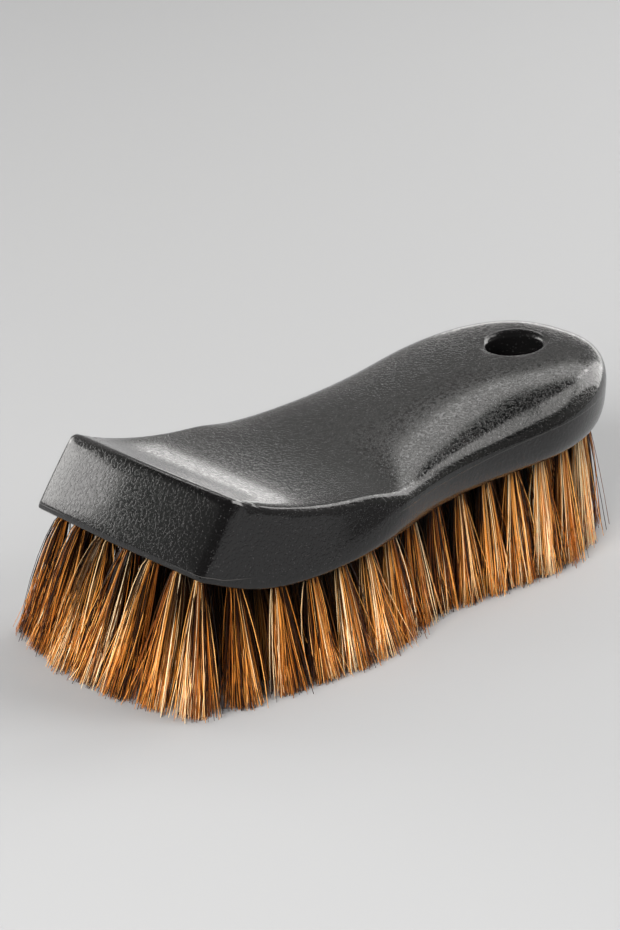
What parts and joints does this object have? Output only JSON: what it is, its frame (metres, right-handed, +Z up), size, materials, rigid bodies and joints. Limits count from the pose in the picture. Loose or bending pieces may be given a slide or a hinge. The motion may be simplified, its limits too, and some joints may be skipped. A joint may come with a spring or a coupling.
{
  "type": "leather cleaning brush",
  "caption": "Hand brush for leather: a waisted black plastic block with a flat slanted nose, a hang hole at the round end and a dense field of horsehair.",
  "frame": {"origin": "on the floor plane of the hair tips, under the middle of the whole brush", "axes": "+X from the flat nose towards the end with the hang hole, +Y across the brush, +Z up"},
  "size_m": [0.1617, 0.0778, 0.05],
  "materials": {
    "block": "fine grain",
    "hair": "natural horsehair"
  },
  "bodies": {
    "root": {"brush_block": "block", "tuft_row_01": "hair", "tuft_row_02": "hair", "tuft_row_03": "hair", "tuft_row_04": "hair", "tuft_row_05": "hair", "tuft_row_06": "hair", "tuft_row_07": "hair", "tuft_row_08": "hair", "tuft_row_09": "hair", "tuft_row_10": "hair", "tuft_row_11": "hair", "tuft_row_12": "hair", "tuft_row_13": "hair", "tuft_row_14_left": "hair", "tuft_row_14_right": "hair", "tuft_row_15_left": "hair", "tuft_row_15_right": "hair", "tuft_row_16_left": "hair", "tuft_row_16_right": "hair"}
  },
  "joints": []
}
